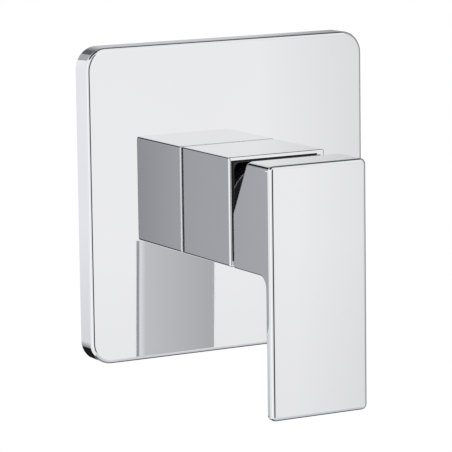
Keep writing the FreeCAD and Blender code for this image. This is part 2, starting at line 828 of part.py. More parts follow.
def make_grub_screw():
    body = new_body("handle_grub_screw")
    tip = -d.stem_side / 2
    foot = tip - d.grub_length
    shank = new_sketch(body, "shank", "XY_Plane", foot)
    draw_circle(shank, ZERO, -grub_out, d.grub_radius - d.socket_fit)
    pad(body, shank, d.grub_length)
    key = new_sketch(body, "key", "XY_Plane", foot)
    flat = d.grub_key_flat / 2
    point = d.grub_key_flat / 3 ** 0.5
    draw_polygon(
        key,
        [
            (point, -grub_out),
            (point / 2, flat - grub_out),
            (-point / 2, flat - grub_out),
            (-point, -grub_out),
            (-point / 2, -flat - grub_out),
            (point / 2, -flat - grub_out),
        ],
    )
    cut(body, key, d.grub_key_depth, forward=True)


def make_plug():
    body = new_body("grub_screw_plug")
    disc = new_sketch(body, "disc", "XY_Plane", -d.head_half_height)
    draw_circle(disc, ZERO, -grub_out, d.plug_radius - d.socket_fit)
    pad(body, disc, d.plug_thickness)


make_wall_plate()
make_plate_gasket()
make_sleeve_seal()
make_square_sleeve()
make_valve_body()
make_neck_rings()
make_cartridge_nut()
make_cartridge_base()
make_port_seals()
make_cartridge_housing()
make_discs()
make_disc_slider()
make_stem_carrier()
make_stem_pivot_pin()
make_lever_stem()
make_lever_handle()
make_grub_screw()
make_plug()
doc.recompute()

for item in doc.Objects:
    if "Invalid" in item.State or "Error" in item.State:
        raise RuntimeError("failed object: " + item.Label)
for piece in sub_parts:
    shape = piece.Shape
    if shape.isNull() or not shape.isValid() or len(shape.Solids) != 1:
        raise RuntimeError("bad shape: " + piece.Label)

os.makedirs("parts", exist_ok=True)
for piece in sub_parts:
    piece.Shape.exportStep("parts/" + piece.Label + ".step")
    print("%-20s %9.1f mm3" % (piece.Label, piece.Shape.Volume))
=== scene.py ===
import json
import math

import bpy
from mathutils import Matrix


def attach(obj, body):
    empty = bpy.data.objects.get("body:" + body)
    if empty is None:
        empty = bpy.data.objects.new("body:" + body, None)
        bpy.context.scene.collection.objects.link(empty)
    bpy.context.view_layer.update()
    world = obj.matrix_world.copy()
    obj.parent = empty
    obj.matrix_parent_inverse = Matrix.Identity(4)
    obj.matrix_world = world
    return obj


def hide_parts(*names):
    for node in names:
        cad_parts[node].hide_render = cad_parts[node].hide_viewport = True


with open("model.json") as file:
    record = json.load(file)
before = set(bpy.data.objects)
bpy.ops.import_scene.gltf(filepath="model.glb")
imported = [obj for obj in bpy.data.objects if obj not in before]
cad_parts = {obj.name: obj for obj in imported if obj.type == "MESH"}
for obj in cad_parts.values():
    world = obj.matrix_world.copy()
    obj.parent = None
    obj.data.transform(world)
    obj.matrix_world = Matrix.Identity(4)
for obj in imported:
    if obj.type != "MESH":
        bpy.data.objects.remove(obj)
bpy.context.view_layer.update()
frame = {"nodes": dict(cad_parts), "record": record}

# The pieces are measured in millimetres here, the studio in metres as the scene is.
# The front of the mixer faces -Y, and 0 is the back of the valve body inside the wall.
MM = 0.001
X, Y, Z = 0, 1, 2
WALL = -50.0

PLATE_HALF, PLATE_FRONT, PLATE_FLOOR, PLATE_RIM = 70.0, -61.0, -58.0, 4.0
PLATE_CORNER, PLATE_FRONT_EDGE, PLATE_BACK_EDGE = 10.0, 1.9, 0.3
NECK_HOLE_RADIUS = 21.6

SLEEVE_HALF, SLEEVE_FRONT, SLEEVE_REAR = 24.0, -104.0, -61.8
SLEEVE_CORNER, SLEEVE_FRONT_EDGE, SLEEVE_REAR_EDGE = 1.1, 1.0, 0.9
CAVITY_HALF, CAVITY_FLOOR, CAVITY_CORNER = 21.5, -77.8, 3.0
NECK_BORE_RADIUS = 21.2

HEAD_HALF, HEAD_BACK, WEDGE_TOP, HEAD_FILLET = 24.0, -106.6, -119.4, 5.0
LEVER_FRONT, PADDLE_BACK, PADDLE_FOOT = -139.0, -134.2, -86.0
LEVER_CORNER, LEVER_FRONT_EDGE, LEVER_BACK_EDGE = 2.6, 2.1, 0.9
HOLLOW_HALF, HOLLOW_FLOOR, BOSS_HALF = 20.0, -130.0, 9.0
SOCKET_HALF, SOCKET_FLOOR = 4.05, -128.05
SCREW_Y, SCREW_HOLE_RADIUS, SCREW_HOLE_TOP = -116.0, 2.5, -3.5
PLUG_SEAT_RADIUS, PLUG_SEAT_TOP = 3.2, -21.0


# ---------------------------------------------------------------- modelling by hand


def block(name, low, high):
    """A block between two corners, at its place in the frame."""
    bpy.ops.object.select_all(action="DESELECT")
    middle = [(a + b) / 2 * MM for a, b in zip(low, high)]
    bpy.ops.mesh.primitive_cube_add(size=1, location=middle)
    piece = bpy.context.object
    piece.name = piece.data.name = name
    piece.scale = [(b - a) * MM for a, b in zip(low, high)]
    bpy.ops.object.transform_apply(location=True, rotation=True, scale=True)
    return piece


def square_bar(name, half, front, rear):
    """A block that is square seen from the front."""
    return block(name, (-half, front, -half), (half, rear, half))


def rod(name, radius, start, end, axis, sides):
    """A round bar along Y or Z, from one point to another."""
    bpy.ops.object.select_all(action="DESELECT")
    middle = [(a + b) / 2 * MM for a, b in zip(start, end)]
    turn = (math.radians(90), 0, 0) if axis == Y else (0, 0, 0)
    length = abs(start[axis] - end[axis]) * MM
    bpy.ops.mesh.primitive_cylinder_add(
        vertices=sides, radius=radius * MM, depth=length, location=middle, rotation=turn
    )
    piece = bpy.context.object
    piece.name = name
    bpy.ops.object.transform_apply(location=True, rotation=True, scale=True)
    return piece


def at(value, place):
    """Whether a coordinate is at a place, to a hundredth of a millimetre."""
    return abs(value - place) < 0.01


def along_y(a, b):
    """Chooses the edges that run from front to back."""
    return at(a.x, b.x) and at(a.z, b.z)


def level(axis, place):
    """Chooses the edges that lie at one place along an axis."""
    return lambda a, b: at(a[axis], place) and at(b[axis], place)


def both(first, second):
    """Chooses the edges that two choices share."""
    return lambda a, b: first(a, b) and second(a, b)


def hold(piece):
    """Makes one piece the only one that the next step works on."""
    bpy.ops.object.select_all(action="DESELECT")
    piece.select_set(True)
    bpy.context.view_layer.objects.active = piece


def pick_edges(piece, wanted):
    """Opens the piece for editing with the wanted edges selected, by the places of their ends."""
    hold(piece)
    bpy.ops.object.mode_set(mode="EDIT")
    bpy.ops.mesh.select_mode(type="EDGE")
    bpy.ops.mesh.select_all(action="DESELECT")
    bpy.ops.object.mode_set(mode="OBJECT")
    points = piece.data.vertices
    for edge in piece.data.edges:
        a, b = (points[i].co / MM for i in edge.vertices)
        edge.select = wanted(a, b)
    bpy.ops.object.mode_set(mode="EDIT")


def pick_faces(piece, wanted):
    """Opens the piece for editing with the wanted faces selected, by middle and normal."""
    hold(piece)
    bpy.ops.object.mode_set(mode="EDIT")
    bpy.ops.mesh.select_mode(type="FACE")
    bpy.ops.mesh.select_all(action="DESELECT")
    bpy.ops.object.mode_set(mode="OBJECT")
    for face in piece.data.polygons:
        face.select = wanted(face.center / MM, face.normal)
    bpy.ops.object.mode_set(mode="EDIT")


def close():
    bpy.ops.object.mode_set(mode="OBJECT")


def round_edges(piece, wanted, radius, steps):
    pick_edges(piece, wanted)
    bpy.ops.mesh.bevel(
        offset=radius * MM, offset_type="OFFSET", segments=steps, profile=0.5, affect="EDGES"
    )
    close()


def break_edges(piece, radius, steps):
    """Takes the sharpness off every edge that is still a hard corner."""
    hold(piece)
    step = piece.modifiers.new("broken_edges", "BEVEL")
    step.limit_method = "ANGLE"
    step.angle_limit = math.radians(40)
    step.width = radius * MM
    step.segments = steps
    bpy.ops.object.modifier_apply(modifier=step.name)


def sink(piece, wanted, rim, shift):
    """Insets the wanted face by a rim and pushes the middle along a shift."""
    pick_faces(piece, wanted)
    if rim:
        bpy.ops.mesh.inset(thickness=rim * MM, depth=0, use_even_offset=True)
    bpy.ops.mesh.extrude_region_move(
        TRANSFORM_OT_translate={"value": tuple(v * MM for v in shift)}
    )
    close()


def carve(piece, cutter):
    """Takes the cutter's shape out of the piece, and the cutter away."""
    hold(piece)
    step = piece.modifiers.new("carve", "BOOLEAN")
    step.operation = "DIFFERENCE"
    step.solver = "EXACT"
    step.object = cutter
    bpy.ops.object.modifier_apply(modifier=step.name)
    bpy.data.objects.remove(cutter)


def settle(piece):
    """Merges what lies on one spot, and shades flats flat and rounded edges smooth."""
    hold(piece)
    bpy.ops.object.mode_set(mode="EDIT")
    bpy.ops.mesh.select_all(action="SELECT")
    bpy.ops.mesh.remove_doubles(threshold=1e-6)
    bpy.ops.mesh.normals_make_consistent(inside=False)
    bpy.ops.object.mode_set(mode="OBJECT")
    bpy.ops.object.shade_smooth_by_angle(angle=math.radians(35))
    even = piece.modifiers.new("even", "WEIGHTED_NORMAL")
    even.mode = "FACE_AREA"
    even.weight = 100
    even.keep_sharp = True
    bpy.ops.object.modifier_apply(modifier=even.name)


# In the pieces below, the shapes that cut reach some millimetres past the faces they open.


def make_wall_plate():
    """Rounded-square cover plate, dished at the back, with a hole for the neck."""
    plate = square_bar("chrome_wall_plate", PLATE_HALF, PLATE_FRONT, WALL)
    round_edges(plate, along_y, PLATE_CORNER, steps=20)
    round_edges(plate, level(Y, PLATE_FRONT), PLATE_FRONT_EDGE, steps=10)
    sink(plate, lambda m, n: at(m.y, WALL) and n.y > 0.9, PLATE_RIM, (0, PLATE_FLOOR - WALL, 0))

    def outside(a, b):
        return max(abs(a.x), abs(a.z), abs(b.x), abs(b.z)) > PLATE_HALF - 2.5

    round_edges(plate, both(level(Y, WALL), outside), PLATE_BACK_EDGE, steps=2)
    carve(plate, rod("neck_hole", NECK_HOLE_RADIUS, (0, -66, 0), (0, -54, 0), Y, sides=128))
    settle(plate)
    return plate


def make_square_sleeve():
    """Square tube on the plate, bored at the rear for the neck and open at the front."""
    sleeve = square_bar("chrome_square_sleeve", SLEEVE_HALF, SLEEVE_FRONT, SLEEVE_REAR)
    round_edges(sleeve, along_y, SLEEVE_CORNER, steps=8)
    round_edges(sleeve, level(Y, SLEEVE_FRONT), SLEEVE_FRONT_EDGE, steps=8)
    round_edges(sleeve, level(Y, SLEEVE_REAR), SLEEVE_REAR_EDGE, steps=8)
    cavity = square_bar("sleeve_cavity", CAVITY_HALF, SLEEVE_FRONT - 4, CAVITY_FLOOR)
    round_edges(cavity, along_y, CAVITY_CORNER, steps=8)
    carve(sleeve, cavity)
    carve(sleeve, rod("neck_bore", NECK_BORE_RADIUS, (0, -79, 0), (0, -58, 0), Y, sides=128))
    settle(sleeve)
    return sleeve


def make_lever_handle():
    """L-shaped lever: square head with a slanted back, hollow round the stem, and a flat paddle."""
    lever = square_bar("chrome_lever_handle", HEAD_HALF, LEVER_FRONT, HEAD_BACK)
    hold(lever)
    bpy.ops.object.mode_set(mode="EDIT")
    for spot, normal in (((0, PADDLE_BACK, 0), (0, 1, 0)), ((0, 0, 0), (0, 0, 1))):
        bpy.ops.mesh.select_all(action="SELECT")
        bpy.ops.mesh.bisect(plane_co=tuple(v * MM for v in spot), plane_no=normal)
    close()
    # The paddle grows down from the head, and the upper back edge of the head moves forward.
    sink(lever, lambda m, n: n.z < -0.9 and m.y < PADDLE_BACK, 0, (0, 0, PADDLE_FOOT + HEAD_HALF))
    pick_edges(lever, both(level(Y, HEAD_BACK), level(Z, HEAD_HALF)))
    bpy.ops.transform.translate(value=(0, (WEDGE_TOP - HEAD_BACK) * MM, 0))
    bpy.ops.mesh.select_all(action="SELECT")
    bpy.ops.mesh.dissolve_limited(angle_limit=math.radians(1))
    close()

    def corner(a, b):
        return at(abs(a.x), HEAD_HALF) and (at(a.z, HEAD_HALF) or at(a.z, PADDLE_FOOT))

    round_edges(lever, both(level(Y, PADDLE_BACK), level(Z, -HEAD_HALF)), HEAD_FILLET, steps=12)
    round_edges(lever, both(along_y, corner), LEVER_CORNER, steps=12)
    round_edges(lever, level(Y, LEVER_FRONT), LEVER_FRONT_EDGE, steps=10)
    break_edges(lever, LEVER_BACK_EDGE, steps=6)
    hollow = square_bar("head_hollow", HOLLOW_HALF, HOLLOW_FLOOR, -100)
    carve(hollow, block("stem_boss", (-BOSS_HALF, -132, -22), (BOSS_HALF, -98, BOSS_HALF)))
    carve(lever, hollow)
    carve(lever, square_bar("stem_socket", SOCKET_HALF, SOCKET_FLOOR, -100))
    for name, radius, top in (
        ("grub_hole", SCREW_HOLE_RADIUS, SCREW_HOLE_TOP),
        ("plug_seat", PLUG_SEAT_RADIUS, PLUG_SEAT_TOP),
    ):
        carve(lever, rod(name, radius, (0, SCREW_Y, -26), (0, SCREW_Y, top), Z, sides=48))
    settle(lever)
    return lever


wall_plate = make_wall_plate()
square_sleeve = make_square_sleeve()
lever_handle = make_lever_handle()
for piece, node, body in (
    (wall_plate, "wall_plate", "wall_unit"),
    (square_sleeve, "square_sleeve", "wall_unit"),
    (lever_handle, "lever_handle", "lever"),
):
    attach(piece, body)
    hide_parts(node)


# ---------------------------------------------------------------- finishes


def new_group(name, inputs, outputs):
    """An empty shader group that is given a place and some values, and its two end nodes."""
    group = bpy.data.node_groups.new(name, "ShaderNodeTree")
    group.interface.new_socket("Place", in_out="INPUT", socket_type="NodeSocketVector")
    for label, value in inputs.items():
        socket = group.interface.new_socket(label, in_out="INPUT", socket_type="NodeSocketFloat")
        socket.default_value = value
    for label in outputs:
        group.interface.new_socket(label, in_out="OUTPUT", socket_type="NodeSocketFloat")
    return group, group.nodes.new("NodeGroupInput"), group.nodes.new("NodeGroupOutput")


def maths(tree, kind, *values):
    """A math node; what comes from another node is linked to it, and a number is set on it."""
    node = tree.nodes.new("ShaderNodeMath")
    node.operation = kind
    for end, value in zip(node.inputs, values):
        if isinstance(value, float):
            end.default_value = value
        else:
            tree.links.new(value, end)
    return node.outputs["Value"]


def clouds(tree, place, scale, detail):
    """A noise of the given scale."""
    node = tree.nodes.new("ShaderNodeTexNoise")
    node.inputs["Detail"].default_value = detail
    tree.links.new(place, node.inputs["Vector"])
    tree.links.new(scale, node.inputs["Scale"])
    return node.outputs["Fac"]


def axis_distance(tree, place):
    """How far a place is from the axis of the mixer, which runs along Y."""
    flat = tree.nodes.new("ShaderNodeVectorMath")
    flat.operation = "MULTIPLY"
    flat.inputs[1].default_value = (1, 0, 1)
    reach = tree.nodes.new("ShaderNodeVectorMath")
    reach.operation = "LENGTH"
    tree.links.new(place, flat.inputs[0])
    tree.links.new(flat.outputs["Vector"], reach.inputs[0])
    return reach.outputs["Value"]


def split_place(tree, place):
    """The three coordinates of a place."""
    parts = tree.nodes.new("ShaderNodeSeparateXYZ")
    tree.links.new(place, parts.inputs["Vector"])
    return parts.outputs


def make_fine_grain():
    """Small even grain: a height for bumps and a shade that lightens and darkens the colour."""
    group, given, result = new_group(
        "fine_grain", {"Size": 900.0, "Broad": 40.0}, ("Height", "Shade")
    )
    small = clouds(group, given.outputs["Place"], given.outputs["Size"], 3)
    broad = clouds(group, given.outputs["Place"], given.outputs["Broad"], 2)
    mix = group.nodes.new("ShaderNodeMix")
    mix.inputs["Factor"].default_value = 0.65
    group.links.new(small, mix.inputs["A"])
    group.links.new(broad, mix.inputs["B"])
    group.links.new(small, result.inputs["Height"])
    group.links.new(mix.outputs["Result"], result.inputs["Shade"])
    return group


def make_wipe_haze():
    """Faint clouds and thin wipe marks, as a roughness between two values."""
    group, given, result = new_group(
        "wipe_haze", {"Size": 30.0, "Low": 0.03, "High": 0.06}, ("Roughness",)
    )
    stretch = group.nodes.new("ShaderNodeMapping")
    stretch.inputs["Scale"].default_value = (1, 1, 14)
    stretch.inputs["Rotation"].default_value = (0.3, 0.9, 0.2)
    group.links.new(given.outputs["Place"], stretch.inputs["Vector"])
    haze = clouds(group, given.outputs["Place"], given.outputs["Size"], 4)
    wipes = clouds(group, stretch.outputs["Vector"], given.outputs["Size"], 2)
    spread = group.nodes.new("ShaderNodeMapRange")
    spread.inputs["From Min"].default_value = 0.12
    spread.inputs["From Max"].default_value = 0.42
    group.links.new(maths(group, "MULTIPLY", haze, wipes), spread.inputs["Value"])
    group.links.new(given.outputs["Low"], spread.inputs["To Min"])
    group.links.new(given.outputs["High"], spread.inputs["To Max"])
    group.links.new(spread.outputs["Result"], result.inputs["Roughness"])
    return group


def make_cast_and_shade_inside():
    """Marks the hollow of a plated piece, which is cast and left dull, and painted dark as shade: a
    square behind a level.
    """
    group, given, result = new_group("cast_and_shade_inside", {"Half": 0.02, "Level": -1.0}, ("Mask",))
    parts = split_place(group, given.outputs["Place"])
    across = maths(group, "ABSOLUTE", parts["X"])
    upright = maths(group, "ABSOLUTE", parts["Z"])
    side = maths(group, "MAXIMUM", across, upright)
    inside = maths(group, "LESS_THAN", side, given.outputs["Half"])
    behind = maths(group, "GREATER_THAN", parts["Y"], given.outputs["Level"])
    group.links.new(maths(group, "MULTIPLY", inside, behind), result.inputs["Mask"])
    return group


def make_turned_rings():
    """Fine lathe rings about the axis of the mixer, on round and flat faces alike, as a height."""
    group, given, result = new_group("turned_rings", {"Pitch": 0.0005}, ("Height",))
    reach = axis_distance(group, given.outputs["Place"])
    depth = split_place(group, given.outputs["Place"])["Y"]
    turns = maths(group, "DIVIDE", maths(group, "ADD", reach, depth), given.outputs["Pitch"])
    group.links.new(maths(group, "PINGPONG", turns, 0.5), result.inputs["Height"])
    return group


def make_highlight_ring():
    """Marks a narrow ring about the axis of the mixer, where a painted highlight lies along an
    edge.
    """
    group, given, result = new_group("highlight_ring", {"Radius": 0.018, "Width": 0.0005}, ("Mask",))
    reach = axis_distance(group, given.outputs["Place"])
    near = maths(group, "COMPARE", reach, given.outputs["Radius"], given.outputs["Width"])
    group.links.new(near, result.inputs["Mask"])
    return group


FINE_GRAIN = make_fine_grain()
WIPE_HAZE = make_wipe_haze()
CAST_AND_SHADE_INSIDE = make_cast_and_shade_inside()
TURNED_RINGS = make_turned_rings()
HIGHLIGHT_RING = make_highlight_ring()

# Colour and metallic of the painted highlight ring on the nut's front edge.
HIGHLIGHT_RING_COLOUR, HIGHLIGHT_RING_METALLIC = (0.93, 0.93, 0.93, 1), 0.2
# The inside colour is darker than bare casting: painted shade in the hollows; its roughness and
# metallic are the dull casting's own.
CAST_AND_SHADE_COLOUR, CAST_METALLIC, CAST_ROUGHNESS = (0.075, 0.075, 0.08, 1), 0.3, 0.55


class Finish:
    """One procedural material: two close colours mixed by grain, hazed roughness and a small bump.

    haze, grain and broad are scales of noise, and bump is a depth in millimetres.
    """

    def __init__(self, name, dark, light, metallic, rough, haze, grain, broad, bump):
        self.material = bpy.data.materials.new(name)
        self.material.use_nodes = True
        tree = self.material.node_tree
        self.nodes, self.link = tree.nodes, tree.links.new
        self.shader = self.nodes["Principled BSDF"]
        self.shader.inputs["Metallic"].default_value = metallic
        self.place = self.nodes.new("ShaderNodeTexCoord").outputs["Object"]
        grains = self.add_group(FINE_GRAIN, Size=grain, Broad=broad)
        hazes = self.add_group(WIPE_HAZE, Size=haze, Low=rough[0], High=rough[1])
        self.link(hazes["Roughness"], self.shader.inputs["Roughness"])
        tint = self.nodes.new("ShaderNodeMix")
        tint.data_type = "RGBA"
        tint.inputs["A"].default_value = (*dark, 1)
        tint.inputs["B"].default_value = (*light, 1)
        self.link(grains["Shade"], tint.inputs["Factor"])
        self.link(tint.outputs["Result"], self.shader.inputs["Base Color"])
        self.add_bump(grains["Height"], bump)

    def add_group(self, group, **values):
        """Puts a shared group into this material and returns what it gives out."""
        node = self.nodes.new("ShaderNodeGroup")
        node.node_tree = group
        for label, value in values.items():
            node.inputs[label].default_value = value
        self.link(self.place, node.inputs["Place"])
        return node.outputs

    def add_bump(self, height, depth):
        """Lays a relief over what relief there is."""
        normal = self.shader.inputs["Normal"]
        over = self.nodes.new("ShaderNodeBump")
        over.inputs["Strength"].default_value = 1.0
        over.inputs["Distance"].default_value = depth * MM
        self.link(height, over.inputs["Height"])
        if normal.is_linked:
            self.link(normal.links[0].from_socket, over.inputs["Normal"])
        self.link(over.outputs["Normal"], normal)

    def change(self, mask, label, value):
        """Gives one input of the shader another value where the mask is."""
        end = self.shader.inputs[label]
        mix = self.nodes.new("ShaderNodeMix")
        if end.type == "RGBA":
            mix.data_type = "RGBA"
        if end.is_linked:
            self.link(end.links[0].from_socket, mix.inputs["A"])
        else:
            mix.inputs["A"].default_value = end.default_value
        mix.inputs["B"].default_value = value
        self.link(mask, mix.inputs["Factor"])
        self.link(mix.outputs["Result"], end)

    def turned(self, pitch, depth):
        """Rings left by the lathe."""
        self.add_bump(self.add_group(TURNED_RINGS, Pitch=pitch * MM)["Height"], depth)
        return self

    def painted_highlight_ring(self, radius, width):
        """A painted highlight: a pale ring along a round edge, in place of the light the edge would
        catch.
        """
        ring = self.add_group(HIGHLIGHT_RING, Radius=radius * MM, Width=width / 2 * MM)
        self.change(ring["Mask"], "Base Color", HIGHLIGHT_RING_COLOUR)
        self.change(ring["Mask"], "Metallic", HIGHLIGHT_RING_METALLIC)
        return self

    def open_cells(self, size, depth):
        """Small open cells, as in foam."""
        cells = self.nodes.new("ShaderNodeTexVoronoi")
        cells.inputs["Scale"].default_value = 1 / (size * MM)
        self.link(self.place, cells.inputs["Vector"])
        self.add_bump(cells.outputs["Distance"], depth)
        return self

    def dull_and_shaded_inside(self, half, front):
        """Bare casting in the hollow: rougher and less of a metal than the plating, and darker than
        bare casting is, as painted shade.
        """
        hollow = self.add_group(CAST_AND_SHADE_INSIDE, Half=half * MM, Level=front * MM)
        self.change(hollow["Mask"], "Base Color", CAST_AND_SHADE_COLOUR)
        self.change(hollow["Mask"], "Roughness", CAST_ROUGHNESS)
        self.change(hollow["Mask"], "Metallic", CAST_METALLIC)
        return self


def chrome(name):
    return Finish(
        name, dark=(0.788, 0.789, 0.80), light=(0.818, 0.819, 0.83), metallic=1.0,
        rough=(0.004, 0.012), haze=25.0, grain=22.0, broad=8.0, bump=0.0012,
    )


# The dull parts, painted dark as shade, reach a little past the faces of the hollows, and out of
# the sleeve's open front.
PLATE_CHROME = chrome("plate_chrome").dull_and_shaded_inside(PLATE_HALF - PLATE_RIM + 0.3, PLATE_FLOOR - 0.2)
SLEEVE_CHROME = chrome("sleeve_chrome").dull_and_shaded_inside(CAVITY_HALF + 0.3, SLEEVE_FRONT - 4)
LEVER_CHROME = chrome("lever_chrome").dull_and_shaded_inside(HOLLOW_HALF + 0.2, HOLLOW_FLOOR - 0.2)

PLASTIC = {
    "metallic": 0.0, "rough": (0.35, 0.50),
    "haze": 150.0, "grain": 2600.0, "broad": 80.0, "bump": 0.012,
}
FINISHES = {"polished_chrome": PLATE_CHROME}


def add_finish(name, **look):
    FINISHES[name] = Finish(name, **look)
    return FINISHES[name]


# The nut's front edge carries a painted highlight ring.
add_finish(
    "plated_nut", dark=(0.50, 0.50, 0.52), light=(0.60, 0.60, 0.61), metallic=1.0,
    rough=(0.12, 0.25), haze=120.0, grain=1500.0, broad=60.0, bump=0.01,
).turned(0.5, 0.02).painted_highlight_ring(18.2, 0.5)
add_finish(
    "cast_brass", dark=(0.50, 0.33, 0.13), light=(0.72, 0.53, 0.26), metallic=1.0,
    rough=(0.32, 0.52), haze=60.0, grain=1400.0, broad=45.0, bump=0.10,
)
add_finish(
    "turned_brass", dark=(0.62, 0.44, 0.19), light=(0.78, 0.60, 0.31), metallic=1.0,
    rough=(0.18, 0.32), haze=150.0, grain=2500.0, broad=60.0, bump=0.01,
).turned(0.4, 0.02)
add_finish(
    "grey_foam", dark=(0.030, 0.030, 0.034), light=(0.065, 0.065, 0.072), metallic=0.0,
    rough=(0.85, 0.95), haze=200.0, grain=1800.0, broad=90.0, bump=0.05,
).open_cells(0.9, 0.35)
add_finish(
    "black_rubber", dark=(0.008, 0.008, 0.008), light=(0.020, 0.020, 0.021), metallic=0.0,
    rough=(0.45, 0.65), haze=220.0, grain=2200.0, broad=120.0, bump=0.015,
)
add_finish("white_plastic", dark=(0.62, 0.62, 0.58), light=(0.71, 0.71, 0.68), **PLASTIC)
add_finish("grey_plastic", dark=(0.13, 0.145, 0.16), light=(0.18, 0.195, 0.21), **PLASTIC)
add_finish("black_plastic", dark=(0.010, 0.010, 0.011), light=(0.022, 0.022, 0.024), **PLASTIC)
add_finish(
    "ceramic_disc", dark=(0.76, 0.74, 0.68), light=(0.86, 0.85, 0.80), metallic=0.0,
    rough=(0.10, 0.22), haze=180.0, grain=3200.0, broad=140.0, bump=0.004,
)
add_finish(
    "steel", dark=(0.42, 0.42, 0.44), light=(0.58, 0.58, 0.60), metallic=1.0,
    rough=(0.22, 0.36), haze=200.0, grain=1800.0, broad=90.0, bump=0.01,
)
add_finish(
    "plug_plastic", dark=(0.30, 0.31, 0.33), light=(0.38, 0.39, 0.41), metallic=0.0,
    rough=(0.12, 0.22), haze=150.0, grain=2200.0, broad=80.0, bump=0.006,
)

for row in frame["record"]["subparts"]:
    node = frame["nodes"][row["node"]]
    for slot in node.material_slots:
        slot.material = FINISHES[row["material_slot"]].material
for piece, finish in (
    (wall_plate, PLATE_CHROME),
    (square_sleeve, SLEEVE_CHROME),
    (lever_handle, LEVER_CHROME),
):
    piece.data.materials.append(finish.material)

# The wall plate mirrors the sleeve and the room, but not the lever and what sits in it.
lever_handle.visible_glossy = False
for name in ("lever_stem", "handle_grub_screw", "grub_screw_plug"):
    frame["nodes"][name].visible_glossy = False


# ---------------------------------------------------------------- studio


BLUE_GREY = (0.985, 0.998, 1.05)
COOL_GREY = (0.99, 1.0, 1.025)
PLAIN_GREY = (1.0, 1.0, 1.0)
FLOOR_LEVEL = -1.6
SKY_LIGHT, SKY_SEEN = 0.75, 1.0


def white_to_the_eye(tree, surface, white):
    """White where the camera, a mirror or glass looks, and the given surface for the light."""
    path = tree.nodes.new("ShaderNodeLightPath").outputs
    seen = maths(tree, "MAXIMUM", path["Is Camera Ray"], path["Is Glossy Ray"])
    seen = maths(tree, "MAXIMUM", seen, path["Is Transmission Ray"])
    mix = tree.nodes.new("ShaderNodeMixShader")
    tree.links.new(seen, mix.inputs["Fac"])
    tree.links.new(surface, mix.inputs[1])
    tree.links.new(white, mix.inputs[2])
    return mix.outputs["Shader"]


def make_sky():
    world = bpy.data.worlds.new("white_studio")
    bpy.context.scene.world = world
    world.use_nodes = True
    tree = world.node_tree
    soft, white = tree.nodes["Background"], tree.nodes.new("ShaderNodeBackground")
    for sky, strength in ((soft, SKY_LIGHT), (white, SKY_SEEN)):
        sky.inputs["Color"].default_value = (1, 1, 1, 1)
        sky.inputs["Strength"].default_value = strength
    seen = white_to_the_eye(tree, soft.outputs["Background"], white.outputs["Background"])
    tree.links.new(seen, tree.nodes["World Output"].inputs["Surface"])


def make_floor():
    bpy.ops.object.select_all(action="DESELECT")
    bpy.ops.mesh.primitive_plane_add(size=30, location=(0, 0, FLOOR_LEVEL))
    floor = bpy.context.object
    floor.name = "pale_floor"
    material = bpy.data.materials.new("pale_floor")
    material.use_nodes = True
    tree = material.node_tree
    paint = tree.nodes["Principled BSDF"]
    paint.inputs["Base Color"].default_value = (0.85, 0.85, 0.85, 1)
    paint.inputs["Roughness"].default_value = 0.9
    white = tree.nodes.new("ShaderNodeEmission")
    white.inputs["Strength"].default_value = 1.0
    seen = white_to_the_eye(tree, paint.outputs["BSDF"], white.outputs["Emission"])
    tree.links.new(seen, tree.nodes["Material Output"].inputs["Surface"])
    floor.data.materials.append(material)


def card_finish(name, tint, *runs):
    """A plain card; each run is an axis and its stops, a place in metres and a grey."""
    material = bpy.data.materials.new(name)
    material.use_nodes = True
    tree = material.node_tree
    tree.nodes.remove(tree.nodes["Principled BSDF"])
    glow = tree.nodes.new("ShaderNodeEmission")
    parts = split_place(tree, tree.nodes.new("ShaderNodeTexCoord").outputs["Object"])
    for (axis, stops), end in zip(runs, (glow.inputs["Color"], glow.inputs["Strength"])):
        spread = tree.nodes.new("ShaderNodeMapRange")
        ramp = tree.nodes.new("ShaderNodeValToRGB")
        low, high = stops[0][0], stops[-1][0]
        spread.inputs["From Min"].default_value = low
        spread.inputs["From Max"].default_value = high
        while len(ramp.color_ramp.elements) < len(stops):
            ramp.color_ramp.elements.new(0.5)
        for element, (spot, grey) in zip(ramp.color_ramp.elements, stops):
            element.position = (spot - low) / (high - low)
            element.color = (*(grey * part for part in tint), 1)
        tree.links.new(parts[axis], spread.inputs["Value"])
        tree.links.new(spread.outputs["Result"], ramp.inputs["Fac"])
        tree.links.new(ramp.outputs["Color"], end)
    tree.links.new(glow.outputs["Emission"], tree.nodes["Material Output"].inputs["Surface"])
    return material


def set_card(card, finish):
    """A card that only mirrors see: it stands beside the picture and takes no light."""
    card.data.materials.append(finish)
    card.visible_camera = card.visible_diffuse = False
    card.visible_shadow = card.visible_transmission = False


def left_of_front(side, distance):
    """A place on the level of the mixer, so many degrees left of the front."""
    turn = math.radians(side)
    return (-math.sin(turn) * distance, -math.cos(turn) * distance, 0)


def upright_card(name, side, distance, low, high, stops, upward=None, lean=0.0, tint=BLUE_GREY):
    """A card that stands upright and faces the mixer; side is degrees left of the front.

    Stops are metres along the card, positive towards the left of the front, and a grey;
    upward is the same up the card.
    """
    bpy.ops.object.select_all(action="DESELECT")
    bpy.ops.mesh.primitive_plane_add(
        size=1,
        location=left_of_front(side, distance),
        rotation=(math.radians(90), 0, math.pi - math.radians(side)),
    )
    card = bpy.context.object
    card.name = name
    card.rotation_euler.rotate_axis("Z", lean)
    for point in card.data.vertices:
        point.co.x = stops[0][0] if point.co.x < 0 else stops[-1][0]
        point.co.y = low if point.co.y < 0 else high
    runs = [("X", stops)] + ([("Y", upward)] if upward else [])
    set_card(card, card_finish(name, tint, *runs))


def level_card(name, low, high, stops):
    """A level card between two corners; stops are metres along Y and a grey."""
    bpy.ops.object.select_all(action="DESELECT")
    bpy.ops.mesh.primitive_plane_add(size=1, location=(0, 0, low[Z]))
    card = bpy.context.object
    card.name = name
    for point in card.data.vertices:
        point.co.x = low[X] if point.co.x < 0 else high[X]
        point.co.y = low[Y] if point.co.y < 0 else high[Y]
    set_card(card, card_finish(name, BLUE_GREY, ("Y", stops)))


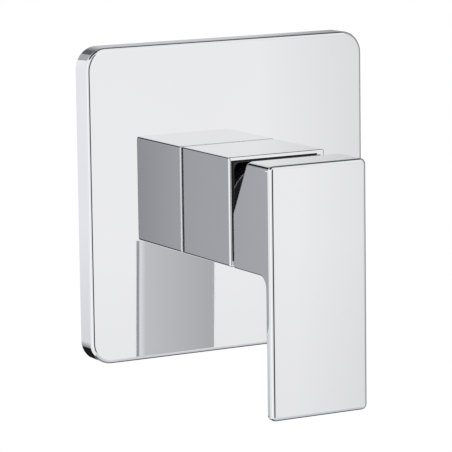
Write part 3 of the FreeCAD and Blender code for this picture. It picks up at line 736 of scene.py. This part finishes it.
def soft_box(name, side, distance, width, height, brightness):
    """A soft light that mirrors don't show; side is degrees left of the front."""
    light = bpy.data.lights.new(name, "AREA")
    light.shape = "RECTANGLE"
    light.size, light.size_y = width, height
    light.energy = brightness * math.pi * width * height
    lamp = bpy.data.objects.new(name, light)
    bpy.context.scene.collection.objects.link(lamp)
    lamp.visible_glossy = False
    upright = Matrix.Rotation(math.radians(90), 4, "X")
    facing = Matrix.Rotation(-math.radians(side), 4, "Z") @ upright
    lamp.matrix_world = Matrix.Translation(left_of_front(side, distance)) @ facing


def make_camera():
    """The camera that was fitted to the edges of plate, sleeve and lever in the photo."""
    data = bpy.data.cameras.new("camera")
    camera = bpy.data.objects.new("camera", data)
    bpy.context.scene.collection.objects.link(camera)
    sensor, focal_pixels, picture_pixels = 36.0, 3027.79, 452
    data.sensor_width = sensor
    data.lens = sensor * focal_pixels / picture_pixels
    data.clip_start, data.clip_end = 0.05, 60
    right = (0.87201798, -0.48929953, -0.01306174)
    up = (0.08944915, 0.13306472, 0.98706263)
    back = (-0.48123122, -0.86190472, 0.15980225)
    place = (-0.65391, -1.22873, 0.20291)
    camera.matrix_world = Matrix([*zip(right, up, back, place), (0, 0, 0, 1)])
    bpy.context.scene.camera = camera


make_sky()
make_floor()

# Front left: the left faces mirror its grey end by way of the plate, and rounded left edges
# catch its dark middle as a thin line.
front_grey = [(-0.066, 0.41), (-0.026, 0.51), (0.14, 0.64)]
upright_card(
    "dark_front", side=29.0, distance=1.4, low=-0.9, high=0.4,
    stops=[(-0.78, 1.02), (-0.6, 0.025), (-0.1, 0.025), *front_grey],
)
upright_card(
    "dark_front_high", side=29.0, distance=1.4, low=0.4, high=1.5,
    stops=[(-0.58, 0.02), (-0.16, 0.02), *front_grey],
)
# Close before the sleeve, for the dark back of the head that the plate would mirror.
upright_card(
    "head_shade", side=0.0, distance=0.1072, low=-0.022, high=0.022,
    stops=[(-0.022, 0.02), (0.022, 0.02)],
)
# Right: for the edges that turn to the right.
upright_card(
    "dark_right", side=-95.0, distance=1.2, low=-1.5, high=1.5,
    stops=[(-1.3, 0.3), (0.32, 0.3), (1.3, 0.95)],
)
# Back: the tops mirror the dark card, and the left rim of the plate mirrors the pale one.
upright_card(
    "dark_back", side=180.0, distance=1.4, low=0.1, high=1.6,
    stops=[
        (-0.62, 0.46), (-0.24, 0.46), (-0.225, 0.13), (0.1, 0.13),
        (0.6, 0.58), (0.85, 0.65), (0.94, 0.4), (1.5, 0.4),
    ],
)
upright_card(
    "pale_left", side=180.0, distance=1.41, low=-0.7, high=0.3,
    stops=[(-1.3, 0.88), (-0.5, 0.88)],
    upward=[(-0.7, 0.3), (-0.45, 0.8), (-0.39, 0.93), (-0.27, 1.08), (0.3, 1.14)],
)
# Floor: dark behind the mixer for the lower corners, a small grey card close below them,
# and grey in front for the undersides.
level_card("dark_floor", (-1.0, 1.74, -1.0), (1.0, 2.3, -1.0), [(1.74, 0.012), (2.3, 0.012)])
level_card(
    "dim_floor", (-0.6, -0.05, -1.0), (1.0, 1.74, -1.0),
    [(-0.05, 0.06), (0.9, 0.05), (1.4, 0.012), (1.74, 0.012)],
)
level_card("foot_card", (-0.09, 0.0, -0.2), (0.02, 0.15, -0.2), [(0.0, 0.6), (0.15, 0.6)])
level_card("grey_floor", (-0.8, -2.3, -1.25), (2.4, 0.0, -1.25), [(-2.3, 0.88), (0.0, 0.62)])
# Roof: the upper edges catch it.
level_card("dark_roof", (-0.2, -0.25, 1.6), (2.2, 1.1, 1.6), [(-0.25, 0.09), (1.1, 0.09)])
level_card("dark_roof_left", (-1.8, -0.7, 1.6), (-0.2, 1.1, 1.6), [(-0.7, 0.05), (1.1, 0.05)])
# Front right: the bright fronts of plate and lever, and the grey band below the sleeve.
upright_card(
    "glow", side=0.0, distance=4.4, low=-1.55, high=0.3, tint=PLAIN_GREY,
    stops=[(-4.5, 0.7), (-2.74, 0.9), (-2.5, 1.03), (-0.3, 1.05)],
    upward=[(-1.55, 0.88), (-0.85, 1.0), (0.3, 0.97)],
)
upright_card(
    "high_glow", side=0.0, distance=4.4, low=0.3, high=2.2, tint=PLAIN_GREY,
    stops=[(-4.5, 0.86), (-2.73, 0.86), (-2.5, 1.06), (-0.3, 1.12)],
)
upright_card(
    "grey_stand", side=0.0, distance=4.0, low=-1.538, high=-0.715, lean=0.02, tint=COOL_GREY,
    stops=[
        (-2.186, 0.49), (-2.034, 0.63), (-2.024, 0.83),
        (-2.021, 0.83), (-2.019, 0.36), (-2.014, 0.36),
    ],
)
# Left: a lamp that lights the part, and a graded card that mirrors see in its place.
upright_card(
    "left_glow", side=88.0, distance=1.3, low=-0.95, high=0.95, tint=PLAIN_GREY,
    stops=[(-0.52, 1.26), (-0.26, 1.26), (-0.12, 0.98), (0.0, 0.92), (0.5, 1.0)],
)
soft_box("left_box", side=88.0, distance=1.3, width=1.0, height=1.9, brightness=1.1)
make_camera()
bpy.context.scene.view_settings.view_transform = "Standard"
